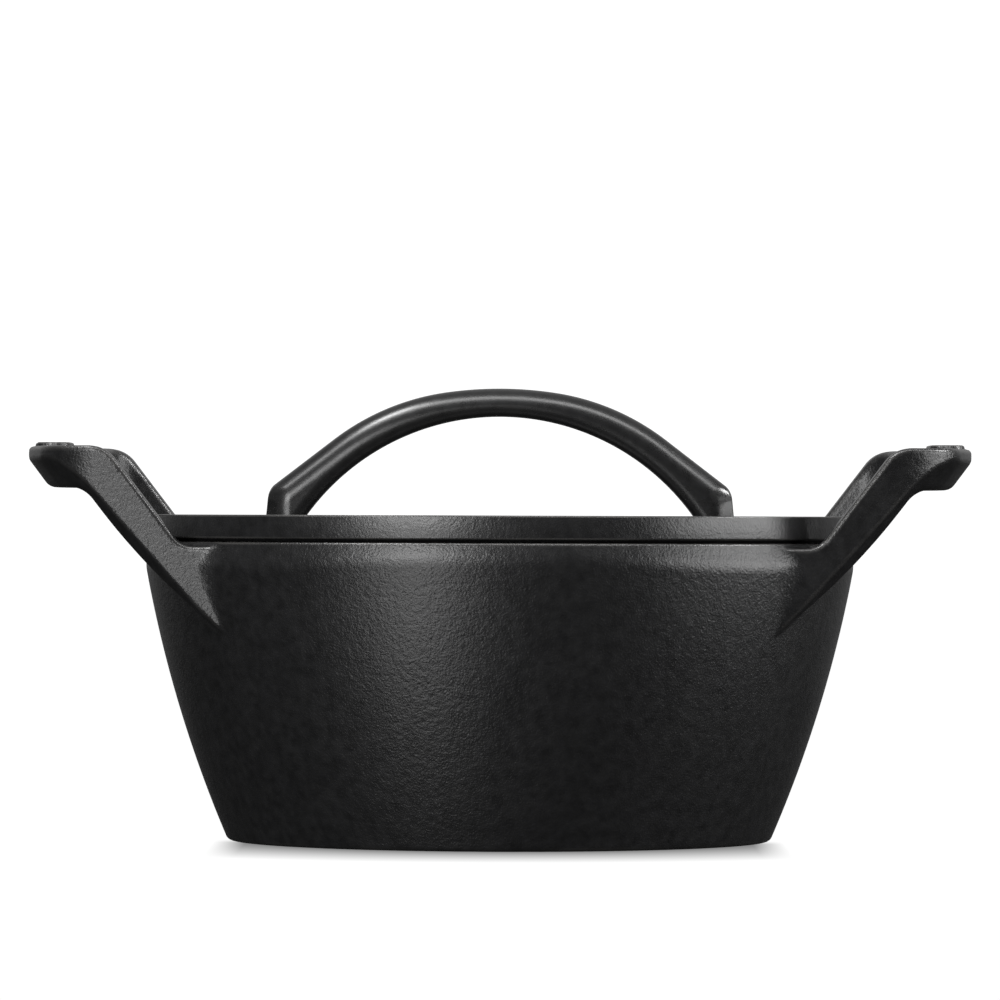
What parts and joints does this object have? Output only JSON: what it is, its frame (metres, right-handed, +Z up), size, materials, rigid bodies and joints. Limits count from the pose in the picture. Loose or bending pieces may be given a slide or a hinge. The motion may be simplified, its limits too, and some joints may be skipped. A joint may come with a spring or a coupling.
{
  "type": "cast iron dutch oven",
  "caption": "Tapered cast iron dutch oven with raised loop handles and a lift-off flat lid with an arched handle.",
  "frame": {"origin": "centre of the flat base, in the plane that the pot stands on", "axes": "+Z up; X runs through the two loop handles and along the lid's arch; -Y is the front"},
  "size_m": [0.376, 0.284, 0.1805],
  "materials": {
    "seasoned_iron": "satin, fine cast grain",
    "smooth_iron": "satin, ground smooth",
    "screw_steel": "satin"
  },
  "bodies": {
    "pot": {"pot": "seasoned_iron"},
    "lid": {"lid": "seasoned_iron", "lid_handle": "smooth_iron", "lid_screw_left": "screw_steel", "lid_screw_right": "screw_steel", "lid_washer_left": "screw_steel", "lid_washer_right": "screw_steel"}
  },
  "joints": [
    {"name": "lid_lift", "type": "slide", "parent": "pot", "child": "lid", "axis": [0, 0, 1], "range_m": [0, 0.12]}
  ]
}
